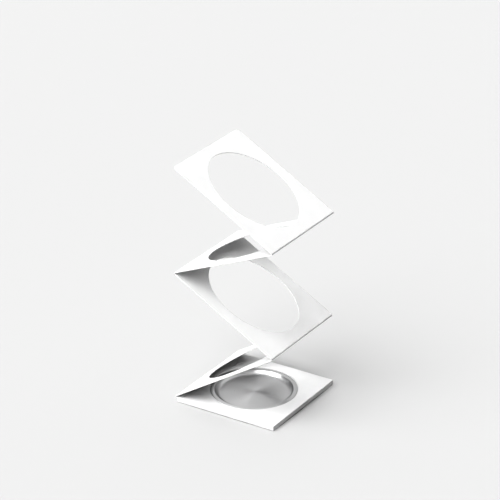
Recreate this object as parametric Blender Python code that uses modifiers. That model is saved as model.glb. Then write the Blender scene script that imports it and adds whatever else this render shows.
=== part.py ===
"""Umbrella stand: one folded steel sheet on a ballast plate, with a loose round drip tray.

Frame: +Z up, +X towards the base's free edge, the folds run along Y, and the origin lies on the
ground under the middle of the base. Metres.
"""

import math

import bmesh
import bpy
from mathutils import Matrix, Vector

MM = 0.001

# ---- driving dimensions -------------------------------------------------------------------
STAND_WIDTH = 250 * MM          # X, left folds to the base's free edge
STAND_DEPTH = 250 * MM          # Y, length of every fold
RIGHT_FOLD_INSET = 5 * MM       # the right-hand folds stop this far short of the free edge
SHEET = 2 * MM                  # folded sheet's thickness
BEND_INNER_RADIUS = 1.2 * MM
BASE_CORNER_RADIUS = 1.5 * MM   # free corners of the bottom panel and of the plate
TOP_CORNER_RADIUS = 12 * MM     # free corners of the last panel

BASE_TOP = 12 * MM              # top face of the bottom panel
FOLD_HEIGHTS = [158 * MM, 298 * MM, 403.5 * MM]     # bend centres above BASE_TOP
TOP_EDGE_HEIGHT = 545.5 * MM    # the last panel's free edge above BASE_TOP

HOLE_RADIUS = 97.2 * MM         # every hole, as seen from straight above

GAP = 0.3 * MM                  # between pieces that touch
FOOT_HEIGHT = 1.6 * MM          # ground to the plate's underside
LEDGE = 8 * MM                  # how far the plate reaches in under the tray's rim

RIM_CLEARANCE = 1.2 * MM        # tray's rim to the hole
RIM_WIDTH = 8.2 * MM
TRAY_SHEET = 1 * MM
TRAY_DEPTH = 8 * MM             # rim's top face to the floor's top face
TRAY_FILLET = 15 * MM           # rounded wall, middle of the sheet
RIM_BEND = 1.5 * MM             # rounded edge from rim to wall, middle of the sheet

STUD_RADIUS = 2 * MM            # M4 weld stud
STUD_OFFSET = 88 * MM           # from the tray's axis, in X and in Y
NUT_ACROSS_FLATS = 7 * MM
NUT_HEIGHT = 2.2 * MM
WASHER_RADIUS = 4.5 * MM
WASHER_THICKNESS = 0.8 * MM
POCKET_RADIUS = 6 * MM
POCKET_DEPTH = 3.7 * MM

FOOT_RADIUS = 11 * MM
FOOT_TAPER = 1 * MM
FOOT_INSET = 20 * MM            # foot's centre to the plate's edges

# ---- facets -------------------------------------------------------------------------------
HOLE_SEGMENTS = 72
TRAY_STEPS = 72
BEND_SEGMENTS = 8
CORNER_SEGMENTS = 6
SMALL_SEGMENTS = 20

# ---- worked out from them -----------------------------------------------------------------
BEND_MIDDLE_RADIUS = BEND_INNER_RADIUS + SHEET / 2
BEND_OUTER_RADIUS = BEND_INNER_RADIUS + SHEET
LEFT = -STAND_WIDTH / 2
RIGHT = STAND_WIDTH / 2
RIGHT_FOLDS = RIGHT - RIGHT_FOLD_INSET
WELL_X = (LEFT + RIGHT_FOLDS) / 2                   # axis of the holes and the tray
SHEET_UNDERSIDE = BASE_TOP - SHEET
PLATE_TOP = SHEET_UNDERSIDE - GAP
PLATE_LEFT = LEFT + BEND_OUTER_RADIUS
PLATE_HOLE_RADIUS = HOLE_RADIUS - LEDGE
RIM_RADIUS = HOLE_RADIUS - RIM_CLEARANCE
RIM_UNDERSIDE = PLATE_TOP + GAP
RIM_TOP = RIM_UNDERSIDE + TRAY_SHEET
CORNERS = [("front_left", -1, -1), ("front_right", 1, -1), ("back_left", -1, 1), ("back_right", 1, 1)]


def clear_scene():
    for item in list(bpy.data.objects):
        bpy.data.objects.remove(item, do_unlink=True)


def make_collection(name):
    collection = bpy.data.collections.new(name)
    bpy.context.scene.collection.children.link(collection)
    return collection


def make_material(name, color, roughness, metallic):
    material = bpy.data.materials.new(name)
    material.use_nodes = True
    shader = material.node_tree.nodes["Principled BSDF"]
    shader.inputs["Base Color"].default_value = (*color, 1)
    shader.inputs["Roughness"].default_value = roughness
    shader.inputs["Metallic"].default_value = metallic
    material.diffuse_color = (*color, 1)
    return material


def add_object(name, bm, collection, material):
    mesh = bpy.data.meshes.new(name)
    bm.to_mesh(mesh)
    bm.free()
    mesh.shade_smooth()
    mesh.set_sharp_from_angle(angle=math.radians(35))
    mesh.materials.append(material)
    item = bpy.data.objects.new(name, mesh)
    collection.objects.link(item)
    return item


def add_cutter(name, bm):
    mesh = bpy.data.meshes.new(name)
    bm.to_mesh(mesh)
    bm.free()
    item = bpy.data.objects.new(name, mesh)
    item.hide_render = True
    item.display_type = "WIRE"
    cutters.objects.link(item)
    return item


def cut(item, cutter):
    modifier = item.modifiers.new("cut_" + cutter.name, "BOOLEAN")
    modifier.operation = "DIFFERENCE"
    modifier.solver = "EXACT"
    modifier.object = cutter


def cylinder(radius, low, high, center=(0, 0), segments=SMALL_SEGMENTS, top_radius=None):
    """A closed upright cylinder or cone from height low to height high."""
    bm = bmesh.new()
    middle = Vector((center[0], center[1], (low + high) / 2))
    bmesh.ops.create_cone(
        bm,
        cap_ends=True,
        segments=segments,
        radius1=radius,
        radius2=radius if top_radius is None else top_radius,
        depth=high - low,
        matrix=Matrix.Translation(middle),
    )
    return bm


def round_corners(bm, corners, affect, radius):
    """Rounds corners of a sheet, or the upright edges of a block, as seen from above."""
    bmesh.ops.bevel(
        bm, geom=corners, affect=affect, offset=radius, segments=CORNER_SEGMENTS, profile=0.5
    )


# ---- folded body --------------------------------------------------------------------------
def bend_centers():
    """Centres of the four bends, bottom to top: left, right, left, right."""
    left = LEFT + BEND_OUTER_RADIUS
    right = RIGHT_FOLDS - BEND_OUTER_RADIUS
    centers = [Vector((left, BASE_TOP + BEND_INNER_RADIUS))]
    for index, height in enumerate(FOLD_HEIGHTS):
        centers.append(Vector((right if index % 2 == 0 else left, BASE_TOP + height)))
    return centers


def panel_slopes(centers):
    """Each sloping panel's angle: it leaves over one bend and arrives under the next."""
    slopes = []
    for lower, upper in zip(centers, centers[1:]):
        reach = upper - lower
        line = math.atan2(reach.y, abs(reach.x))
        slopes.append(line - math.asin(2 * BEND_MIDDLE_RADIUS / reach.length))
    reach = Vector((LEFT, BASE_TOP + TOP_EDGE_HEIGHT)) - centers[-1]
    line = math.atan2(reach.y, abs(reach.x))
    slopes.append(line - math.asin(BEND_OUTER_RADIUS / reach.length))
    return slopes


def bend_arc(center, side, low_slope, high_slope):
    """Points round one bend, from the panel below it to the panel above it."""
    start = -math.pi / 2 + low_slope
    turn = math.pi - low_slope - high_slope
    points = []
    for step in range(BEND_SEGMENTS + 1):
        angle = start + turn * step / BEND_SEGMENTS
        offset = Vector((side * math.cos(angle), math.sin(angle)))
        points.append(center + BEND_MIDDLE_RADIUS * offset)
    return points


def body_profile(centers, slopes):
    """The sheet's middle line in XZ, from the base's free edge to the top free edge."""
    profile = [Vector((RIGHT, SHEET_UNDERSIDE + SHEET / 2))]
    below = [0] + slopes[:-1]
    for index, center in enumerate(centers):
        side = -1 if index % 2 == 0 else 1
        profile += bend_arc(center, side, below[index], slopes[index])
    last = profile[-1]
    edge_x = LEFT + SHEET / 2 * math.sin(slopes[-1])
    rise = (last.x - edge_x) * math.tan(slopes[-1])
    profile.append(Vector((edge_x, last.y + rise)))
    return profile


def hole_cutter(name, profile, index, slope):
    """An elliptical cutter square to one panel, round when seen from above."""
    start = profile[index]
    end = profile[index + 1]
    height = start.y + (end.y - start.y) * (WELL_X - start.x) / (end.x - start.x)
    tilt = math.atan2(end.y - start.y, end.x - start.x)
    if abs(tilt) > math.pi / 2:
        tilt -= math.copysign(math.pi, tilt)
    stretch = Matrix.Diagonal((1 / math.cos(slope), 1, 1, 1))
    place = Matrix.Translation((WELL_X, 0, height)) @ Matrix.Rotation(-tilt, 4, "Y") @ stretch
    bm = cylinder(HOLE_RADIUS, -3 * SHEET, 3 * SHEET, segments=HOLE_SEGMENTS)
    bm.transform(place)
    return add_cutter(name, bm)


def folded_body():
    centers = bend_centers()
    slopes = panel_slopes(centers)
    profile = body_profile(centers, slopes)
    bm = bmesh.new()
    front = [bm.verts.new((point.x, -STAND_DEPTH / 2, point.y)) for point in profile]
    edges = [bm.edges.new(pair) for pair in zip(front, front[1:])]
    swept = bmesh.ops.extrude_edge_only(bm, edges=edges)
    back = [part for part in swept["geom"] if isinstance(part, bmesh.types.BMVert)]
    bmesh.ops.translate(bm, verts=back, vec=(0, STAND_DEPTH, 0))
    free_corners = [vert for vert in bm.verts if len(vert.link_edges) == 2]
    top_corners = [vert for vert in free_corners if vert.co.z > TOP_EDGE_HEIGHT]
    base_corners = [vert for vert in free_corners if vert.co.z < BASE_TOP]
    round_corners(bm, base_corners, "VERTICES", BASE_CORNER_RADIUS)
    round_corners(bm, top_corners, "VERTICES", TOP_CORNER_RADIUS)
    bmesh.ops.recalc_face_normals(bm, faces=bm.faces)
    body = add_object("folded_body", bm, stand, white_steel)
    solid = body.modifiers.new("sheet", "SOLIDIFY")
    solid.thickness = SHEET
    solid.offset = 0
    solid.use_even_offset = True
    flat_starts = [BEND_SEGMENTS * bend + bend for bend in range(len(centers) + 1)]
    for number, index in enumerate(flat_starts):
        slope = slopes[number - 1] if number else 0
        cut(body, hole_cutter("hole_%d" % number, profile, index, slope))
    return body


# ---- base plate ---------------------------------------------------------------------------
def stud_place(side_x, side_y):
    return (WELL_X + side_x * STUD_OFFSET, side_y * STUD_OFFSET)


def base_plate():
    width = RIGHT - PLATE_LEFT
    height = PLATE_TOP - FOOT_HEIGHT
    middle = Vector(((RIGHT + PLATE_LEFT) / 2, 0, FOOT_HEIGHT + height / 2))
    bm = bmesh.new()
    bmesh.ops.create_cube(bm, size=1)
    bmesh.ops.scale(bm, vec=(width, STAND_DEPTH, height), verts=bm.verts)
    bmesh.ops.translate(bm, vec=middle, verts=bm.verts)
    upright = [edge for edge in bm.edges if is_upright(edge) and edge.verts[0].co.x > 0]
    round_corners(bm, upright, "EDGES", BASE_CORNER_RADIUS)
    plate = add_object("base_plate", bm, stand, plate_steel)
    below = FOOT_HEIGHT - SHEET
    above = PLATE_TOP + SHEET
    opening = cylinder(PLATE_HOLE_RADIUS, below, above, (WELL_X, 0), HOLE_SEGMENTS)
    cut(plate, add_cutter("tray_opening", opening))
    for name, side_x, side_y in CORNERS:
        place = stud_place(side_x, side_y)
        pocket = cylinder(POCKET_RADIUS, below, FOOT_HEIGHT + POCKET_DEPTH, place, SMALL_SEGMENTS)
        cut(plate, add_cutter("pocket_" + name, pocket))
        passage = cylinder(STUD_RADIUS + GAP, below, above, place, SMALL_SEGMENTS)
        cut(plate, add_cutter("passage_" + name, passage))
    return plate


def is_upright(edge):
    span = edge.verts[0].co - edge.verts[1].co
    return abs(span.x) + abs(span.y) < GAP


# ---- drip tray ----------------------------------------------------------------------------
def arc(center, radius, start, end, steps):
    """Points round a centre in the radius-height plane; angles in degrees."""
    points = []
    for step in range(steps + 1):
        angle = math.radians(start + (end - start) * step / steps)
        points.append((center[0] + radius * math.cos(angle), center[1] + radius * math.sin(angle)))
    return points


def tray_profile():
    """The tray sheet's middle line as radius and height, from the rim inwards to the axis."""
    rim_height = RIM_TOP - TRAY_SHEET / 2
    floor_height = rim_height - TRAY_DEPTH
    bend_radius = RIM_RADIUS - RIM_WIDTH
    both = RIM_BEND + TRAY_FILLET
    tilt = math.acos(1 - TRAY_DEPTH / both)         # steepest part of the wall, from level
    fillet_radius = bend_radius - both * math.sin(tilt)
    tilt = math.degrees(tilt)
    points = [(RIM_RADIUS, rim_height)]
    points += arc((bend_radius, rim_height - RIM_BEND), RIM_BEND, 90, 90 + tilt, 3)
    points += arc((fillet_radius, floor_height + TRAY_FILLET), TRAY_FILLET, tilt - 90, -90, 7)[1:]
    points.append((0, floor_height))
    return points


def drip_tray():
    bm = bmesh.new()
    verts = [bm.verts.new((radius, 0, height)) for radius, height in tray_profile()]
    for pair in zip(verts, verts[1:]):
        bm.edges.new(pair)
    tray = add_object("drip_tray", bm, stand, stainless)
    screw = tray.modifiers.new("turn", "SCREW")
    screw.steps = TRAY_STEPS
    screw.render_steps = TRAY_STEPS
    screw.use_merge_vertices = True
    screw.merge_threshold = 0.00001
    screw.use_smooth_shade = True
    solid = tray.modifiers.new("sheet", "SOLIDIFY")
    solid.thickness = TRAY_SHEET
    solid.offset = 0
    solid.use_even_offset = True
    tray.location.x = WELL_X
    return tray


# ---- fasteners and feet -------------------------------------------------------------------
def weld_stud(name, place):
    bottom = FOOT_HEIGHT + GAP / 3
    return add_object(name, cylinder(STUD_RADIUS, bottom, PLATE_TOP, place), stand, zinc)


def washer(name, place):
    top = FOOT_HEIGHT + POCKET_DEPTH - GAP
    bottom = top - WASHER_THICKNESS
    ring = add_object(name, cylinder(WASHER_RADIUS, bottom, top, place), stand, zinc)
    bore = cylinder(STUD_RADIUS + GAP, bottom - SHEET, top + SHEET, place)
    cut(ring, add_cutter("bore_" + name, bore))
    return ring


def nut(name, place):
    top = FOOT_HEIGHT + POCKET_DEPTH - WASHER_THICKNESS - 2 * GAP
    bottom = top - NUT_HEIGHT
    across_corners = NUT_ACROSS_FLATS / math.cos(math.pi / 6)
    hexagon = cylinder(across_corners / 2, bottom, top, place, 6)
    piece = add_object(name, hexagon, stand, zinc)
    bore = cylinder(STUD_RADIUS + GAP, bottom - SHEET, top + SHEET, place)
    cut(piece, add_cutter("bore_" + name, bore))
    return piece


def foot(name, place):
    low_radius = FOOT_RADIUS - FOOT_TAPER
    bm = cylinder(low_radius, 0, FOOT_HEIGHT - GAP, place, SMALL_SEGMENTS + 4, FOOT_RADIUS)
    return add_object(name, bm, stand, rubber)


def foot_place(side_x, side_y):
    x = RIGHT - FOOT_INSET if side_x > 0 else PLATE_LEFT + FOOT_INSET
    return (x, side_y * (STAND_DEPTH / 2 - FOOT_INSET))


clear_scene()
stand = make_collection("umbrella_stand")
cutters = make_collection("cutters")

white_steel = make_material("white_powder_coat", (0.86, 0.86, 0.86), 0.42, 0)
plate_steel = make_material("white_plate", (0.80, 0.80, 0.80), 0.5, 0)
stainless = make_material("stainless", (0.56, 0.56, 0.57), 0.28, 1)
zinc = make_material("zinc", (0.62, 0.64, 0.66), 0.35, 1)
rubber = make_material("black_rubber", (0.03, 0.03, 0.03), 0.8, 0)

folded_body()
base_plate()
drip_tray()
for corner, side_x, side_y in CORNERS:
    weld_stud("stud_" + corner, stud_place(side_x, side_y))
    washer("washer_" + corner, stud_place(side_x, side_y))
    nut("nut_" + corner, stud_place(side_x, side_y))
    foot("foot_" + corner, foot_place(side_x, side_y))
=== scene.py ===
# %% [markdown]
# # A folded steel umbrella stand
#
# One long sheet of steel is folded to and fro, and every panel has a round hole that the
# umbrellas stand in. The bottom panel lies on a heavy plate, and a loose stainless tray catches
# the drips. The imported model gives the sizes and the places; this script builds the surfaces
# that are seen, piece by piece, and then the finishes.

# %% Load the frame and keep its box
import math

import bmesh
import bpy
from mathutils import Matrix, Vector


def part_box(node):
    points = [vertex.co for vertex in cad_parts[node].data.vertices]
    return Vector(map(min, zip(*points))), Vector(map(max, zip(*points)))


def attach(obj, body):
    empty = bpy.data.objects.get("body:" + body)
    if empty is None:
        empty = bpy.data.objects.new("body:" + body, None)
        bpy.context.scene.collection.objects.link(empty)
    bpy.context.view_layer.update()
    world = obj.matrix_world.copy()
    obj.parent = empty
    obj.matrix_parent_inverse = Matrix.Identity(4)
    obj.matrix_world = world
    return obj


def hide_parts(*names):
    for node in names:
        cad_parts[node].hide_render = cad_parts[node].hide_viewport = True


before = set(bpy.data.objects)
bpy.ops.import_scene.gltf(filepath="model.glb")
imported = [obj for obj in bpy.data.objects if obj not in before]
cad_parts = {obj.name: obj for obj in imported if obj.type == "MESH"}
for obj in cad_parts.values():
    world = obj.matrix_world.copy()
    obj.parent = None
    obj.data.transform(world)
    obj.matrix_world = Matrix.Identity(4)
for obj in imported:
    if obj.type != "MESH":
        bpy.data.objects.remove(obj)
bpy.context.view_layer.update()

MM = 0.001
SAME_PLACE = 0.001 * MM
QUARTER_TURN = math.pi / 2
FULL_TURN = 2 * math.pi

# %% [markdown]
# ## Camera
#
# Product pictures of tall thin things are taken from far away with a long lens, so that the
# upright lines stay nearly upright. The camera stands five and a half metres off, to the right
# of the front, and looks down on the stand. It is placed by an angle round the stand, an angle
# above the ground and a distance from the point it looks at. Three loose coordinates would be
# harder to reason about.

# %% Camera
AZIMUTH = math.radians(32.26)
ELEVATION = math.radians(25.2)
LOOK_AT = Vector((-0.0092, -0.0058, 0.3468))
CAMERA_DISTANCE = 5.445
LENS = 183.65


def direction(azimuth, elevation):
    """The unit vector from the subject towards a camera or a lamp."""
    flat = math.cos(elevation)
    return Vector((math.sin(azimuth) * flat, -math.cos(azimuth) * flat, math.sin(elevation)))


camera_data = bpy.data.cameras.new("catalogue_camera")
camera_data.lens = LENS
camera_data.clip_end = 60
camera = bpy.data.objects.new("catalogue_camera", camera_data)
camera.location = LOOK_AT + CAMERA_DISTANCE * direction(AZIMUTH, ELEVATION)
camera.rotation_euler = (QUARTER_TURN - ELEVATION, 0, AZIMUTH)
bpy.context.scene.collection.objects.link(camera)
bpy.context.scene.camera = camera

# %% [markdown]
# ## Helpers for meshes
#
# Every piece is drawn in a bmesh and then becomes an object at the origin, with its place in
# its mesh. Sheet metal and turned metal never have knife edges: each sharp edge gets a small
# rounded one, because that thin bright line is what makes an object look solid. The round
# strips are remembered in a vertex attribute called `edge`, so that a finish can be a little
# different there. The large flat faces must stay flat in the shading, so the normals are
# weighted by the size of the faces.

# %% Mesh helpers
SHARP = math.radians(50)


def round_edges(bm, width, segments=3, angle=SHARP):
    """Rounds every edge sharper than angle and marks the new strips."""
    mark = bm.verts.layers.float.get("edge") or bm.verts.layers.float.new("edge")
    sharp = [e for e in bm.edges if len(e.link_faces) == 2 and e.calc_face_angle(0) > angle]
    made = bmesh.ops.bevel(
        bm,
        geom=sharp,
        affect="EDGES",
        offset=width,
        offset_type="OFFSET",
        segments=segments,
        profile=0.5,
        clamp_overlap=False,
        material=-1,
    )
    strips = set(made["faces"])
    for vert in {v for face in strips for v in face.verts}:
        vert[mark] = 1.0 if all(face in strips for face in vert.link_faces) else 0.0


def finish_mesh(name, bm, weighted=True):
    """Makes an object of a bmesh and smooths it without bending its flat faces."""
    mesh = bpy.data.meshes.new(name)
    bm.to_mesh(mesh)
    bm.free()
    mesh.shade_smooth()
    piece = bpy.data.objects.new(name, mesh)
    bpy.context.scene.collection.objects.link(piece)
    if weighted:
        normals = piece.modifiers.new("flat_faces_stay_flat", "WEIGHTED_NORMAL")
        normals.weight = 100
        normals.keep_sharp = True
    print(name, "has", len(mesh.polygons), "faces")
    return piece


def round_corners(bm, corners, radius):
    """Rounds corners of a flat outline in its own plane."""
    bmesh.ops.bevel(
        bm, geom=corners, affect="VERTICES", offset=radius, segments=8, profile=0.5, material=-1
    )


def edges_at_height(bm, height):
    """The open edges of a bmesh that lie in one level plane."""
    open_edges = [e for e in bm.edges if len(e.link_faces) < 2]
    return [e for e in open_edges if all(abs(v.co.z - height) < SAME_PLACE for v in e.verts)]


def circle(bm, radius, segments, center):
    """A ring of vertices and edges, level, with no face."""
    place = Matrix.Translation(center)
    made = bmesh.ops.create_circle(bm, radius=radius, segments=segments, matrix=place)
    ring = set(made["verts"])
    return [e for e in bm.edges if e.verts[0] in ring and e.verts[1] in ring]


def raise_edges(bm, edges, height):
    """Pulls a wall out of some edges, up or down, and returns its far edges."""
    pulled = bmesh.ops.extrude_edge_only(bm, edges=edges)
    verts = [part for part in pulled["geom"] if isinstance(part, bmesh.types.BMVert)]
    bmesh.ops.translate(bm, verts=verts, vec=(0, 0, height))
    moved = set(verts)
    return [e for e in bm.edges if e.verts[0] in moved and e.verts[1] in moved]


# %% [markdown]
# ## The folded body
#
# On the real stand this is one blank of 2 mm steel: a laser cuts the outline and five holes,
# and a press brake makes four bends. The holes are ovals in the flat blank, longer along a
# steep panel, so that they all look like the same circle from straight above. A Boolean could
# cut them, but then the faces round each hole are long splinters. Here each panel starts as an
# open outline that is pulled inwards, and every new point slides onto the hole's circle. That
# leaves one neat row of faces round the hole, which also rounds off cleanly. The drawing is of
# one side of the sheet; the thickness comes last.

# %% Sizes of the folded body
body_low, body_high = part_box("folded_body")
SHEET = 2 * MM
BEND_INSIDE = 1.2 * MM
BEND_OUTSIDE = BEND_INSIDE + SHEET
RIGHT_FOLD_INSET = 5 * MM
BASE_CORNER = 1.5 * MM
TOP_CORNER = 12 * MM
FOLD_HEIGHTS = [158 * MM, 298 * MM, 403.5 * MM]
HOLE_RADIUS = 97.2 * MM
EDGE_ROUND = 0.35 * MM
BEND_STEPS = 12
OUTLINE_STEPS = 40

base_top = body_low.z + SHEET
top_edge = base_top + 545.5 * MM
fold_left = body_low.x + BEND_OUTSIDE
fold_right = body_high.x - RIGHT_FOLD_INSET - BEND_OUTSIDE
well_x = (body_low.x + body_high.x - RIGHT_FOLD_INSET) / 2
bends = [Vector((fold_left, base_top + BEND_INSIDE))]
for turn, height in enumerate(FOLD_HEIGHTS):
    bends.append(Vector((fold_left if turn % 2 else fold_right, base_top + height)))

slopes = []
for lower, upper in zip(bends, bends[1:]):
    reach = upper - lower
    both_radii = BEND_INSIDE + BEND_OUTSIDE
    slopes.append(math.atan2(reach.y, abs(reach.x)) - math.asin(both_radii / reach.length))
reach = Vector((body_low.x, top_edge)) - bends[-1]
slopes.append(math.atan2(reach.y, abs(reach.x)) - math.asin(BEND_OUTSIDE / reach.length))
print("the panels slope at", [round(math.degrees(slope), 1) for slope in slopes], "degrees")


# %% The side view of one face of the sheet
def one_face_of_the_sheet():
    """Points in X and Z along the base's top face, round the bends, to the top free edge."""
    points = [Vector((body_high.x, base_top))]
    for turn, center in enumerate(bends):
        side = 1 if turn % 2 else -1
        radius = BEND_OUTSIDE if turn % 2 else BEND_INSIDE
        below = slopes[turn - 1] if turn else 0
        start = below - QUARTER_TURN
        sweep = math.pi - below - slopes[turn]
        for step in range(BEND_STEPS + 1):
            angle = start + sweep * step / BEND_STEPS
            points.append(center + radius * Vector((side * math.cos(angle), math.sin(angle))))
    last = points[-1]
    end_x = body_low.x + SHEET * math.sin(slopes[-1])
    points.append(Vector((end_x, last.y + (last.x - end_x) * math.tan(slopes[-1]))))
    return points


# %% Draw the body
def hole_in_panel(bm, start, end, outline):
    """Pulls a panel's outline inwards and slides the new points onto its oval hole."""
    pulled = bmesh.ops.extrude_edge_only(bm, edges=outline)
    for vert in [part for part in pulled["geom"] if isinstance(part, bmesh.types.BMVert)]:
        around = math.atan2(vert.co.y, vert.co.x - well_x)
        x = well_x + HOLE_RADIUS * math.cos(around)
        z = start.y + (x - start.x) * (end.y - start.y) / (end.x - start.x)
        vert.co = (x, HOLE_RADIUS * math.sin(around), z)


def folded_body():
    side_view = one_face_of_the_sheet()
    bm = bmesh.new()
    width = body_high.y - body_low.y
    front = [bm.verts.new((point.x, body_low.y, point.y)) for point in side_view]
    along = [bm.edges.new(pair) for pair in zip(front, front[1:])]
    swept = bmesh.ops.extrude_edge_only(bm, edges=along)
    back = [part for part in swept["geom"] if isinstance(part, bmesh.types.BMVert)]
    bmesh.ops.translate(bm, verts=back, vec=(0, width, 0))
    corners = [v for v in bm.verts if len(v.link_edges) == 2]
    top_corners = [v for v in corners if v.co.z > top_edge - SHEET]
    round_corners(bm, [v for v in corners if v.co.z < base_top + SHEET], BASE_CORNER)
    round_corners(bm, top_corners, TOP_CORNER)
    panels = [face for face in bm.faces if face.calc_area() > width**2 / 2]
    bmesh.ops.delete(bm, geom=panels, context="FACES_ONLY")
    long_edges = [e for e in bm.edges if e.calc_length() > width / 2]
    bmesh.ops.subdivide_edges(bm, edges=long_edges, cuts=OUTLINE_STEPS - 1)
    for first in range(0, len(side_view), BEND_STEPS + 1):
        start, end = side_view[first : first + 2]
        hole_in_panel(bm, start, end, open_edges_of_panel(bm, start, end))
    bmesh.ops.recalc_face_normals(bm, faces=bm.faces)
    bmesh.ops.solidify(bm, geom=bm.faces, thickness=SHEET)
    bmesh.ops.recalc_face_normals(bm, faces=bm.faces)
    round_edges(bm, EDGE_ROUND)
    return finish_mesh("folded_sheet", bm)


def open_edges_of_panel(bm, start, end):
    """The open edges that lie in the plane through two points of the side view."""
    across = Vector((start.y - end.y, end.x - start.x)).normalized()
    close = 0.002 * MM
    found = []
    for edge in bm.edges:
        if len(edge.link_faces) > 1:
            continue
        if all(abs(across.dot(Vector((v.co.x, v.co.z)) - start)) < close for v in edge.verts):
            found.append(edge)
    return found


sheet_piece = folded_body()
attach(sheet_piece, "stand")
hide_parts("folded_body")

# %% [markdown]
# ## The ballast plate
#
# A 6 mm steel plate under the bottom panel keeps the stand from tipping. It has a large hole
# that is smaller than the sheet's, which leaves a ledge for the tray's rim, and four pockets
# from below for the nuts. The walls of all the holes are pulled out of rings of edges first.
# Then only two open planes are left, the bottom and the top, and each is filled in one go.

# %% Draw the ballast plate
plate_low, plate_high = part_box("base_plate")
PLATE_HOLE_RADIUS = HOLE_RADIUS - 8 * MM
STUD_OFFSET = 88 * MM
PASSAGE_RADIUS = 2.3 * MM
POCKET_RADIUS = 6 * MM
POCKET_DEPTH = 3.7 * MM
CORNERS = [
    ("front_left", -1, -1),
    ("front_right", 1, -1),
    ("back_left", -1, 1),
    ("back_right", 1, 1),
]


def ballast_plate():
    thickness = plate_high.z - plate_low.z
    ceiling = plate_low.z + POCKET_DEPTH
    middle = (plate_low + plate_high) / 2
    bm = bmesh.new()
    half = (plate_high - plate_low) / 2
    stretch = Matrix.Diagonal((half.x, half.y, 1, 1))
    flat = Matrix.Translation((middle.x, middle.y, plate_low.z)) @ stretch
    bmesh.ops.create_grid(bm, x_segments=1, y_segments=1, size=1, matrix=flat)
    round_corners(bm, [v for v in bm.verts if v.co.x > middle.x], BASE_CORNER)
    bmesh.ops.delete(bm, geom=list(bm.faces), context="FACES_ONLY")
    raise_edges(bm, list(bm.edges), thickness)
    opening = circle(bm, PLATE_HOLE_RADIUS, 144, (well_x, 0, plate_low.z))
    raise_edges(bm, opening, thickness)
    for name, side_x, side_y in CORNERS:
        center = Vector((well_x + side_x * STUD_OFFSET, side_y * STUD_OFFSET, ceiling))
        pocket = circle(bm, POCKET_RADIUS, 48, center)
        passage = circle(bm, PASSAGE_RADIUS, 48, center)
        bmesh.ops.bridge_loops(bm, edges=pocket + passage)
        raise_edges(bm, pocket, -POCKET_DEPTH)
        raise_edges(bm, passage, plate_high.z - ceiling)
    for height in (plate_low.z, plate_high.z):
        rims = edges_at_height(bm, height)
        bmesh.ops.triangle_fill(bm, edges=rims, use_beauty=True, use_dissolve=False)
    bmesh.ops.recalc_face_normals(bm, faces=bm.faces)
    round_edges(bm, EDGE_ROUND)
    return finish_mesh("ballast_plate", bm)


plate_piece = ballast_plate()
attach(plate_piece, "stand")
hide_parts("base_plate")

# %% [markdown]
# ## The drip tray
#
# A disc of stainless steel is spun on a lathe into a shallow tray: a flat rim, a small rounded
# step, a wall that sweeps in a wide curve, and a flat floor. A turned piece is a profile that
# is spun round an axis. The profile here goes all the way round the metal, over the top face
# and back along the underside, so the spun shape is a closed solid at once.

# %% Draw the drip tray
tray_low, tray_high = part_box("drip_tray")
TRAY_SHEET = 1 * MM
RIM_WIDTH = 8.2 * MM
TRAY_DEPTH = 8 * MM
WALL_SWEEP = 15 * MM
RIM_STEP = 1.5 * MM
TRAY_STEPS = 160


def arc(center, radius, start, end, steps):
    """Points round a centre in the radius and height plane, angles in radians."""
    points = []
    for step in range(steps + 1):
        angle = start + (end - start) * step / steps
        points.append(center + radius * Vector((math.cos(angle), math.sin(angle))))
    return points


def tray_face(side):
    """One face of the tray's sheet, rim to axis; side is +1 on top and -1 underneath."""
    off = side * TRAY_SHEET / 2
    rim = Vector((tray_high.x - well_x, tray_high.z - TRAY_SHEET / 2))
    both = RIM_STEP + WALL_SWEEP
    steepest = math.acos(1 - TRAY_DEPTH / both)
    step_center = Vector((rim.x - RIM_WIDTH, rim.y - RIM_STEP))
    sweep_center = step_center + both * Vector((-math.sin(steepest), math.cos(steepest)))
    points = [Vector((rim.x - TRAY_SHEET / 2, rim.y + off))]
    points += arc(step_center, RIM_STEP + off, QUARTER_TURN, QUARTER_TURN + steepest, 6)
    points += arc(sweep_center, WALL_SWEEP - off, steepest - QUARTER_TURN, -QUARTER_TURN, 20)[1:]
    points.append(Vector((0, sweep_center.y - WALL_SWEEP + off)))
    return points


def drip_tray():
    top = tray_face(1)
    bottom = tray_face(-1)
    lip_center = Vector((top[0].x, (top[0].y + bottom[0].y) / 2))
    lip = arc(lip_center, TRAY_SHEET / 2, -QUARTER_TURN, QUARTER_TURN, 6)[1:-1]
    outline = bottom[::-1] + lip + top
    bm = bmesh.new()
    verts = [bm.verts.new((well_x + point.x, 0, point.y)) for point in outline]
    edges = [bm.edges.new(pair) for pair in zip(verts, verts[1:])]
    bmesh.ops.spin(
        bm,
        geom=verts + edges,
        cent=(well_x, 0, 0),
        axis=(0, 0, 1),
        angle=FULL_TURN,
        steps=TRAY_STEPS,
        use_merge=True,
    )
    bmesh.ops.remove_doubles(bm, verts=bm.verts, dist=SAME_PLACE)
    bmesh.ops.recalc_face_normals(bm, faces=bm.faces)
    return finish_mesh("spun_tray", bm, weighted=False)


tray_piece = drip_tray()
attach(tray_piece, "tray")
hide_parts("drip_tray")

# %% [markdown]
# ## Feet and hidden fixings
#
# Nothing of the fixing shows from above: short studs are welded to the underside of the sheet
# and thin nuts pull the plate up against it from inside their pockets. Four rubber feet lift
# the plate off the floor, which is why there is a dark line under its edge.


# %% Turned pieces
FOOT_HOLLOW = 0.5 * MM
FOOT_RING = 3.4 * MM
FOOT_TREAD = 1 * MM
FOOT_BEVEL = 0.6 * MM
STUD_BEVEL = 0.5 * MM
NUT_BEVEL = 0.35 * MM
NUT_FACE_INSET = 0.1 * MM
SMALL_ROUND = 0.15 * MM


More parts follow.
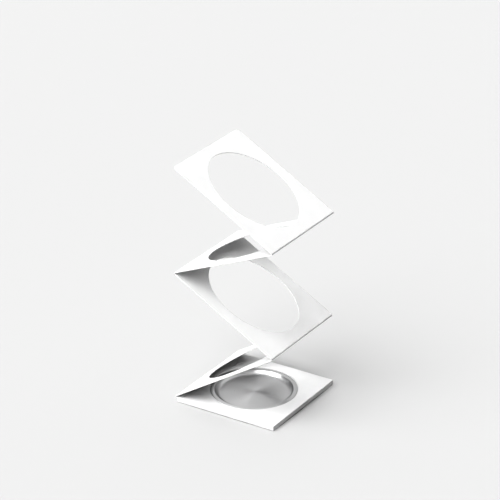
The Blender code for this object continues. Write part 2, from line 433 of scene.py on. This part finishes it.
def turned(name, outline, axis_place, steps):
    """Spins an outline of radius and height round an upright axis into a closed piece."""
    bm = bmesh.new()
    verts = [bm.verts.new((axis_place.x + point[0], axis_place.y, point[1])) for point in outline]
    edges = [bm.edges.new(pair) for pair in zip(verts, verts[1:])]
    if outline[0][0] > 0:
        edges.append(bm.edges.new((verts[-1], verts[0])))
    bmesh.ops.spin(
        bm,
        geom=verts + edges,
        cent=axis_place,
        axis=(0, 0, 1),
        angle=FULL_TURN,
        steps=steps,
        use_merge=True,
    )
    bmesh.ops.remove_doubles(bm, verts=bm.verts, dist=SAME_PLACE)
    bmesh.ops.recalc_face_normals(bm, faces=bm.faces)
    round_edges(bm, SMALL_ROUND, segments=2, angle=math.radians(40))
    return finish_mesh(name, bm)


def rubber_foot(name, node):
    low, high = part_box(node)
    place = (low + high) / 2
    wide = (high.x - low.x) / 2
    outline = [
        (0, FOOT_HOLLOW),
        (wide - FOOT_RING - FOOT_BEVEL, FOOT_HOLLOW),
        (wide - FOOT_RING, 0),
        (wide - FOOT_TREAD, 0),
        (wide, high.z - FOOT_BEVEL),
        (wide - 0.4 * MM, high.z),
        (0, high.z),
    ]
    return turned(name, outline, place, 48)


def flat_washer(name, node):
    low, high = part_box(node)
    place = (low + high) / 2
    wide = (high.x - low.x) / 2
    outline = [(PASSAGE_RADIUS, low.z), (wide, low.z), (wide, high.z), (PASSAGE_RADIUS, high.z)]
    return turned(name, outline, place, 40)


def stud(name, node):
    low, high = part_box(node)
    place = (low + high) / 2
    wide = (high.x - low.x) / 2
    outline = [
        (0, low.z),
        (wide - STUD_BEVEL, low.z),
        (wide, low.z + STUD_BEVEL),
        (wide, high.z),
        (0, high.z),
    ]
    return turned(name, outline, place, 32)


def next_ring(bm, edges, center, radius_at, height):
    """Pulls a ring of edges to a new height and a new radius, which may differ round the ring."""
    pulled = bmesh.ops.extrude_edge_only(bm, edges=edges)
    verts = [part for part in pulled["geom"] if isinstance(part, bmesh.types.BMVert)]
    for vert in verts:
        around = math.atan2(vert.co.y - center.y, vert.co.x - center.x)
        outwards = Vector((math.cos(around), math.sin(around)))
        flat = center.xy + radius_at(around) * outwards
        vert.co = (flat.x, flat.y, height)
    moved = set(verts)
    return [e for e in bm.edges if e.verts[0] in moved and e.verts[1] in moved]


def thin_nut(name, node):
    """A hexagon with its corners turned off at both ends, grown ring by ring round its bore."""
    low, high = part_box(node)
    place = (low + high) / 2
    half_flats = (high.x - low.x) / 2
    sixth = math.pi / 3

    def bore(around):
        return PASSAGE_RADIUS

    def turned_face(around):
        return half_flats - NUT_FACE_INSET

    def six_flats(around):
        return half_flats / math.cos((around + sixth / 2) % sixth - sixth / 2)

    bm = bmesh.new()
    ring = circle(bm, PASSAGE_RADIUS, 48, (place.x, place.y, low.z))
    for shape, height in (
        (turned_face, low.z),
        (six_flats, low.z + NUT_BEVEL),
        (six_flats, high.z - NUT_BEVEL),
        (turned_face, high.z),
        (bore, high.z),
        (bore, low.z),
    ):
        ring = next_ring(bm, ring, place, shape, height)
    bmesh.ops.remove_doubles(bm, verts=bm.verts, dist=SAME_PLACE)
    bmesh.ops.recalc_face_normals(bm, faces=bm.faces)
    return finish_mesh(name, bm)


# %% Place the feet and the fixings
small_pieces = {"black_rubber": [], "zinc": []}
for corner, side_x, side_y in CORNERS:
    made = [
        (rubber_foot("rubber_foot_" + corner, "foot_" + corner), "foot_" + corner, "black_rubber"),
        (stud("weld_stud_" + corner, "stud_" + corner), "stud_" + corner, "zinc"),
        (flat_washer("flat_washer_" + corner, "washer_" + corner), "washer_" + corner, "zinc"),
        (thin_nut("thin_nut_" + corner, "nut_" + corner), "nut_" + corner, "zinc"),
    ]
    for piece, node, slot in made:
        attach(piece, "stand")
        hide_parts(node)
        small_pieces[slot].append(piece)

# %% [markdown]
# ## Floor and light
#
# The floor is a plain pale light table: matt white, with a faint glow of its own that keeps
# wide shadows pale. The glow fades out under the stand, so the dark line under the base's edge
# stays. Three wide soft suns stand in for studio lamps: a large one high in front and a little
# to the left, one almost overhead, and a weak one behind on the left. Hardly any light comes
# from low down, so the narrow ends of the folds go dark while most upper faces stay white.
# Metal needs something pale to mirror, so the sky is bright in reflections only: the Light
# Path node tells those rays from the ones that light the surfaces. The high contrast look
# gives the white sheet its clean, almost shadowless faces.

# %% The pale floor
def light_table(name, inner, outer):
    """A matt white that glows a little of its own, but only away from what stands on it."""
    material = bpy.data.materials.new(name)
    material.use_nodes = True
    nodes = material.node_tree.nodes
    link = material.node_tree.links.new
    shader = nodes["Principled BSDF"]
    shader.inputs["Roughness"].default_value = 0.95
    shader.inputs["Emission Color"].default_value = (1, 1, 1, 1)
    place = nodes.new("ShaderNodeTexCoord")
    distance = nodes.new("ShaderNodeVectorMath")
    distance.operation = "LENGTH"
    link(place.outputs["Object"], distance.inputs[0])
    for socket, near, far in (("Base Color", 0.5, 0.3), ("Emission Strength", 0.0, 0.21)):
        level = nodes.new("ShaderNodeMapRange")
        level.interpolation_type = "SMOOTHSTEP"
        ends = {"From Min": inner, "From Max": outer, "To Min": near, "To Max": far}
        for end, number in ends.items():
            level.inputs[end].default_value = number
        link(distance.outputs["Value"], level.inputs["Value"])
        link(level.outputs["Result"], shader.inputs[socket])
    return material


FLOOR_HALF = 20
floor_mesh = bmesh.new()
bmesh.ops.create_grid(floor_mesh, x_segments=1, y_segments=1, size=FLOOR_HALF)
floor = finish_mesh("studio_floor", floor_mesh, weighted=False)
floor.data.materials.append(light_table("pale_floor", inner=0.125, outer=0.2))


# %% Soft lamps
def soft_sun(name, azimuth, elevation, strength, spread):
    """A sun lamp with a wide disc; all its angles are in degrees."""
    lamp = bpy.data.lights.new(name, "SUN")
    lamp.energy = strength
    lamp.angle = math.radians(spread)
    towards = direction(math.radians(azimuth), math.radians(elevation))
    holder = bpy.data.objects.new(name, lamp)
    holder.rotation_euler = towards.to_track_quat("Z", "Y").to_euler()
    bpy.context.scene.collection.objects.link(holder)


soft_sun("front_softbox", azimuth=-22, elevation=48, strength=2.84, spread=60)
soft_sun("overhead_softbox", azimuth=180, elevation=80, strength=0.78, spread=90)
soft_sun("left_back_softbox", azimuth=-120, elevation=45, strength=0.4, spread=80)

SKY_FOR_SURFACES = 0.02
SKY_IN_REFLECTIONS = 0.34
world = bpy.data.worlds.new("pale_sky")
bpy.context.scene.world = world
world.use_nodes = True
sky = world.node_tree.nodes["Background"]
sky.inputs["Color"].default_value = (1, 1, 1, 1)
rays = world.node_tree.nodes.new("ShaderNodeLightPath")
level = world.node_tree.nodes.new("ShaderNodeMapRange")
level.inputs["To Min"].default_value = SKY_FOR_SURFACES
level.inputs["To Max"].default_value = SKY_IN_REFLECTIONS
world.node_tree.links.new(rays.outputs["Is Glossy Ray"], level.inputs["Value"])
world.node_tree.links.new(level.outputs["Result"], sky.inputs["Strength"])
bpy.context.scene.view_settings.view_transform = "Standard"
bpy.context.scene.view_settings.look = "Very High Contrast"

# %% [markdown]
# ## Building blocks for the finishes
#
# A finish is more than a colour. Powder coat has a fine pebbled skin, paint is thinner along a
# cut edge, dust settles on what faces up, and no two places are quite the same shade. The grey
# on the white coat's edges is partly painted shade as well. Several of the finishes here share
# those effects, so each effect is a node group: a small graph with named inputs that is drawn
# once and then placed in a material like any other node. A group gives out only masks and
# heights. The shader itself stays in the material.

# %% Helpers for node graphs
def add_node(tree, kind, **settings):
    node = tree.nodes.new(kind)
    for name, value in settings.items():
        setattr(node, name, value)
    return node


def feed(tree, target, value):
    """Links a socket to an input, or sets the input to a plain value."""
    if isinstance(value, bpy.types.NodeSocket):
        tree.links.new(value, target)
    else:
        target.default_value = value


def new_group(name, inputs, outputs):
    """An empty node group with float sockets and one vector socket called Place."""
    tree = bpy.data.node_groups.new(name, "ShaderNodeTree")
    tree.interface.new_socket("Place", in_out="INPUT", socket_type="NodeSocketVector")
    for socket in inputs:
        tree.interface.new_socket(socket, in_out="INPUT", socket_type="NodeSocketFloat")
    for socket in outputs:
        tree.interface.new_socket(socket, in_out="OUTPUT", socket_type="NodeSocketFloat")
    return tree, add_node(tree, "NodeGroupInput").outputs, add_node(tree, "NodeGroupOutput").inputs


def place_group(tree, group, place, **values):
    node = add_node(tree, "ShaderNodeGroup", node_tree=group)
    feed(tree, node.inputs["Place"], place)
    for name, value in values.items():
        feed(tree, node.inputs[name], value)
    return node.outputs


def noise(tree, place, scale, detail=2.0, rough=0.5):
    node = add_node(tree, "ShaderNodeTexNoise")
    feed(tree, node.inputs["Vector"], place)
    feed(tree, node.inputs["Scale"], scale)
    node.inputs["Detail"].default_value = detail
    node.inputs["Roughness"].default_value = rough
    return node.outputs["Fac"]


def remap(tree, value, low, high, to_low, to_high):
    """Spreads the stretch low to high of a value over another stretch, and stops at its ends."""
    node = add_node(tree, "ShaderNodeMapRange")
    feed(tree, node.inputs["Value"], value)
    ends = {"From Min": low, "From Max": high, "To Min": to_low, "To Max": to_high}
    for end, number in ends.items():
        feed(tree, node.inputs[end], number)
    return node.outputs["Result"]


def math_node(tree, operation, first, second):
    node = add_node(tree, "ShaderNodeMath", operation=operation)
    feed(tree, node.inputs[0], first)
    feed(tree, node.inputs[1], second)
    return node.outputs["Value"]


def mix_colors(tree, mask, without, under_mask):
    """One colour where the mask is 0 and another where it is 1; colours are RGB or sockets."""
    node = add_node(tree, "ShaderNodeMix", data_type="RGBA")
    feed(tree, node.inputs[0], mask)
    for socket, color in ((node.inputs[6], without), (node.inputs[7], under_mask)):
        feed(tree, socket, (*color, 1) if isinstance(color, tuple) else color)
    return node.outputs[2]


# %% Effects that several finishes share
def make_soft_patches():
    """A large, faint unevenness: hand marks, uneven coating, slightly different oxide."""
    tree, given, result = new_group("soft_patches", ["Size"], ["Mask"])
    scale = math_node(tree, "DIVIDE", 1.0, given["Size"])
    broad = noise(tree, given["Place"], scale, detail=3, rough=0.55)
    feed(tree, result["Mask"], remap(tree, broad, 0.34, 0.66, 0, 1))
    return tree


def make_orange_peel():
    """The pebbled skin that powder leaves when it melts, with a finer skin on top of it."""
    tree, given, result = new_group("orange_peel", ["Size"], ["Height"])
    scale = math_node(tree, "DIVIDE", 1.0, given["Size"])
    pebbles = noise(tree, given["Place"], scale, detail=1.5, rough=0.4)
    fine = noise(tree, given["Place"], math_node(tree, "MULTIPLY", scale, 4.3), detail=1)
    low_fine = math_node(tree, "MULTIPLY", fine, 0.25)
    feed(tree, result["Height"], math_node(tree, "ADD", pebbles, low_fine))
    return tree


# This mask of edge strips carries painted shade on the white coat and scuffing on the rubber.
def make_thin_edges():
    """The rounded edge strips, broken up so that the effect comes and goes along an edge."""
    tree, given, result = new_group("edge_strips", ["Size"], ["Mask"])
    strips = add_node(tree, "ShaderNodeAttribute", attribute_name="edge").outputs["Fac"]
    scale = math_node(tree, "DIVIDE", 1.0, given["Size"])
    breaks = noise(tree, given["Place"], scale, detail=3)
    here_and_there = remap(tree, breaks, 0.35, 0.62, 0, 1)
    feed(tree, result["Mask"], math_node(tree, "MULTIPLY", strips, here_and_there))
    return tree


def make_settled_dust():
    """Fine dust on everything that faces up, in loose drifts."""
    tree, given, result = new_group("settled_dust", ["Size"], ["Mask"])
    facing = add_node(tree, "ShaderNodeNewGeometry").outputs["Normal"]
    upwards = add_node(tree, "ShaderNodeSeparateXYZ")
    feed(tree, upwards.inputs[0], facing)
    level_faces = remap(tree, upwards.outputs["Z"], 0.45, 0.95, 0, 1)
    scale = math_node(tree, "DIVIDE", 1.0, given["Size"])
    drifts = remap(tree, noise(tree, given["Place"], scale, detail=4, rough=0.6), 0.42, 0.7, 0, 1)
    fine = noise(tree, given["Place"], math_node(tree, "MULTIPLY", scale, 40), detail=1)
    specks = remap(tree, fine, 0.6, 0.75, 0, 1)
    loose = math_node(tree, "MAXIMUM", drifts, specks)
    feed(tree, result["Mask"], math_node(tree, "MULTIPLY", level_faces, loose))
    return tree


soft_patches = make_soft_patches()
orange_peel = make_orange_peel()
edge_strips = make_thin_edges()
settled_dust = make_settled_dust()
print("shared effects:", [group.name for group in bpy.data.node_groups])


# %% Start and end of a material
def start_finish(name):
    """A new material, its graph, its shader and the place on the object."""
    material = bpy.data.materials.new(name)
    material.use_nodes = True
    tree = material.node_tree
    place = add_node(tree, "ShaderNodeTexCoord").outputs["Object"]
    return material, tree, tree.nodes["Principled BSDF"], place


def relief(tree, shader, height, depth):
    """Lets a height from 0 to 1 shape the surface, as deep as depth in metres."""
    bump = add_node(tree, "ShaderNodeBump")
    bump.inputs["Strength"].default_value = 1.0
    bump.inputs["Distance"].default_value = depth
    feed(tree, bump.inputs["Height"], height)
    feed(tree, shader.inputs["Normal"], bump.outputs["Normal"])


def put_on(material, pieces):
    for piece in pieces:
        piece.data.materials.append(material)
    print(material.name, "is on", [piece.name for piece in pieces])


# %% [markdown]
# ## White powder coat
#
# Powder is blown onto the charged steel and melted in an oven. It comes out a neutral white
# with a satin gloss and a pebbled skin, with pebbles about a millimetre and a half across and
# only hundredths of a millimetre high. Along a laser-cut edge the coat is thinner, so a little
# of the grey steel shows through, and there it is also smoother. That grey on the rounded edge
# strips is also painted shade, which darkens the cut edges the way shade does. The ballast
# plate has the same powder over a rougher hot-rolled surface, so it is a shade darker and more
# matt.

# %% Make the powder coat
def powder_coat(name, white, roughness, pebble, depth):
    material, tree, shader, place = start_finish(name)
    patches = place_group(tree, soft_patches, place, Size=0.07)["Mask"]
    dust = place_group(tree, settled_dust, place, Size=0.05)["Mask"]
    edges = place_group(tree, edge_strips, place, Size=0.03)["Mask"]
    peel = place_group(tree, orange_peel, place, Size=pebble)["Height"]
    duller = tuple(channel * 0.965 for channel in white)
    dusty = tuple(channel * 0.93 for channel in white)
    steel_shows_and_painted_shade = tuple(channel * 0.62 for channel in white)
    color = mix_colors(tree, patches, white, duller)
    color = mix_colors(tree, math_node(tree, "MULTIPLY", dust, 0.5), color, dusty)
    # The edge strips go grey: partly thinner coat, partly painted shade along the cut edges.
    color = mix_colors(tree, math_node(tree, "MULTIPLY", edges, 0.7), color, steel_shows_and_painted_shade)
    feed(tree, shader.inputs["Base Color"], color)
    gloss = remap(tree, patches, 0, 1, roughness - 0.04, roughness + 0.05)
    gloss = math_node(tree, "ADD", gloss, math_node(tree, "MULTIPLY", dust, 0.08))
    gloss = math_node(tree, "SUBTRACT", gloss, math_node(tree, "MULTIPLY", edges, 0.1))
    feed(tree, shader.inputs["Roughness"], gloss)
    relief(tree, shader, peel, depth)
    return material


sheet_coat = powder_coat(
    "white_powder_coat_satin",
    white=(0.77, 0.77, 0.77),
    roughness=0.4,
    pebble=1.5 * MM,
    depth=0.05 * MM,
)
plate_coat = powder_coat(
    "white_powder_coat_on_plate",
    white=(0.74, 0.74, 0.74),
    roughness=0.5,
    pebble=2.2 * MM,
    depth=0.09 * MM,
)
put_on(sheet_coat, [sheet_piece])
put_on(plate_coat, [plate_piece])

# %% [markdown]
# ## Spun stainless steel
#
# The tray is finished on the lathe with fine abrasive, which leaves thousands of rings too
# fine to see one by one. Together they smear every reflection across the rings, so the flat
# floor shows faint bright fans and faint dark ones. That is anisotropy: a radial tangent about
# Z follows the rings, and a quarter turn stretches the highlights across them. On top of it lie
# some rings that are wide enough to see, which are noise in one dimension, the distance from
# the axis. Water marks and wipe marks dull it a little.

# %% Make the spun stainless steel
DARK_RING = (0.47, 0.47, 0.475)
LIGHT_RING = (0.53, 0.53, 0.53)
WIPED_STEEL = (0.46, 0.46, 0.46)
FINE_RING = 0.35 * MM
WIDE_RING = 3 * MM
RING_DEPTH = 0.0015 * MM


def ring_noise(tree, radius, width, detail):
    """Noise in one dimension, so that it is the same all the way round the axis."""
    node = add_node(tree, "ShaderNodeTexNoise", noise_dimensions="1D")
    feed(tree, node.inputs["W"], radius)
    node.inputs["Scale"].default_value = 1 / width
    node.inputs["Detail"].default_value = detail
    return node.outputs["Fac"]


def spun_stainless(name):
    material, tree, shader, place = start_finish(name)
    shader.inputs["Metallic"].default_value = 1.0
    shader.inputs["Anisotropic"].default_value = 0.75
    shader.inputs["Anisotropic Rotation"].default_value = 0.25
    rings_run = add_node(tree, "ShaderNodeTangent", direction_type="RADIAL", axis="Z")
    feed(tree, shader.inputs["Tangent"], rings_run.outputs["Tangent"])
    centered = add_node(tree, "ShaderNodeMapping")
    feed(tree, centered.inputs["Vector"], place)
    centered.inputs["Location"].default_value = (-well_x, 0, 0)
    across = add_node(tree, "ShaderNodeVectorMath", operation="MULTIPLY")
    feed(tree, across.inputs[0], centered.outputs["Vector"])
    across.inputs[1].default_value = (1, 1, 0)
    distance = add_node(tree, "ShaderNodeVectorMath", operation="LENGTH")
    feed(tree, distance.inputs[0], across.outputs["Vector"])
    radius = distance.outputs["Value"]
    fine_rings = ring_noise(tree, radius, FINE_RING, detail=2)
    wide_rings = ring_noise(tree, radius, WIDE_RING, detail=3)
    rings = math_node(tree, "MULTIPLY", fine_rings, 0.5)
    rings = math_node(tree, "ADD", rings, math_node(tree, "MULTIPLY", wide_rings, 0.5))
    wiped = place_group(tree, soft_patches, place, Size=0.035)["Mask"]
    dust = place_group(tree, settled_dust, place, Size=0.03)["Mask"]
    steel = mix_colors(tree, rings, DARK_RING, LIGHT_RING)
    steel = mix_colors(tree, math_node(tree, "MULTIPLY", wiped, 0.2), steel, WIPED_STEEL)
    feed(tree, shader.inputs["Base Color"], steel)
    gloss = remap(tree, rings, 0.3, 0.7, 0.27, 0.33)
    gloss = math_node(tree, "ADD", gloss, math_node(tree, "MULTIPLY", wiped, 0.02))
    gloss = math_node(tree, "ADD", gloss, math_node(tree, "MULTIPLY", dust, 0.02))
    feed(tree, shader.inputs["Roughness"], gloss)
    relief(tree, shader, rings, RING_DEPTH)
    return material


put_on(spun_stainless("spun_stainless_steel"), [tray_piece])

# %% [markdown]
# ## Zinc and rubber
#
# The fixings are only seen when the stand is turned over. Bright zinc plating is a cool grey
# metal with a cloudy bloom. The feet are black moulded rubber, matt and finely grained, and
# they pick up pale dust from the floor.

# %% Make the zinc plating and the rubber
BRIGHT_ZINC = (0.66, 0.68, 0.7)
CLOUDY_ZINC = (0.5, 0.52, 0.55)
RUBBER = (0.022, 0.022, 0.023)
GREYED_RUBBER = (0.05, 0.05, 0.05)
SCUFFED_RUBBER = (0.14, 0.14, 0.135)


def zinc_plating(name):
    material, tree, shader, place = start_finish(name)
    shader.inputs["Metallic"].default_value = 1.0
    bloom = place_group(tree, soft_patches, place, Size=3 * MM)["Mask"]
    grain = place_group(tree, orange_peel, place, Size=0.4 * MM)["Height"]
    zinc = mix_colors(tree, bloom, BRIGHT_ZINC, CLOUDY_ZINC)
    feed(tree, shader.inputs["Base Color"], zinc)
    feed(tree, shader.inputs["Roughness"], remap(tree, bloom, 0, 1, 0.26, 0.42))
    relief(tree, shader, grain, 0.01 * MM)
    return material


def moulded_rubber(name):
    material, tree, shader, place = start_finish(name)
    worn = place_group(tree, edge_strips, place, Size=2 * MM)["Mask"]
    patches = place_group(tree, soft_patches, place, Size=6 * MM)["Mask"]
    grain = place_group(tree, orange_peel, place, Size=0.6 * MM)["Height"]
    color = mix_colors(tree, patches, RUBBER, GREYED_RUBBER)
    color = mix_colors(tree, math_node(tree, "MULTIPLY", worn, 0.6), color, SCUFFED_RUBBER)
    feed(tree, shader.inputs["Base Color"], color)
    feed(tree, shader.inputs["Roughness"], remap(tree, patches, 0, 1, 0.65, 0.85))
    relief(tree, shader, grain, 0.04 * MM)
    return material


put_on(zinc_plating("bright_zinc_plating"), small_pieces["zinc"])
put_on(moulded_rubber("black_moulded_rubber"), small_pieces["black_rubber"])
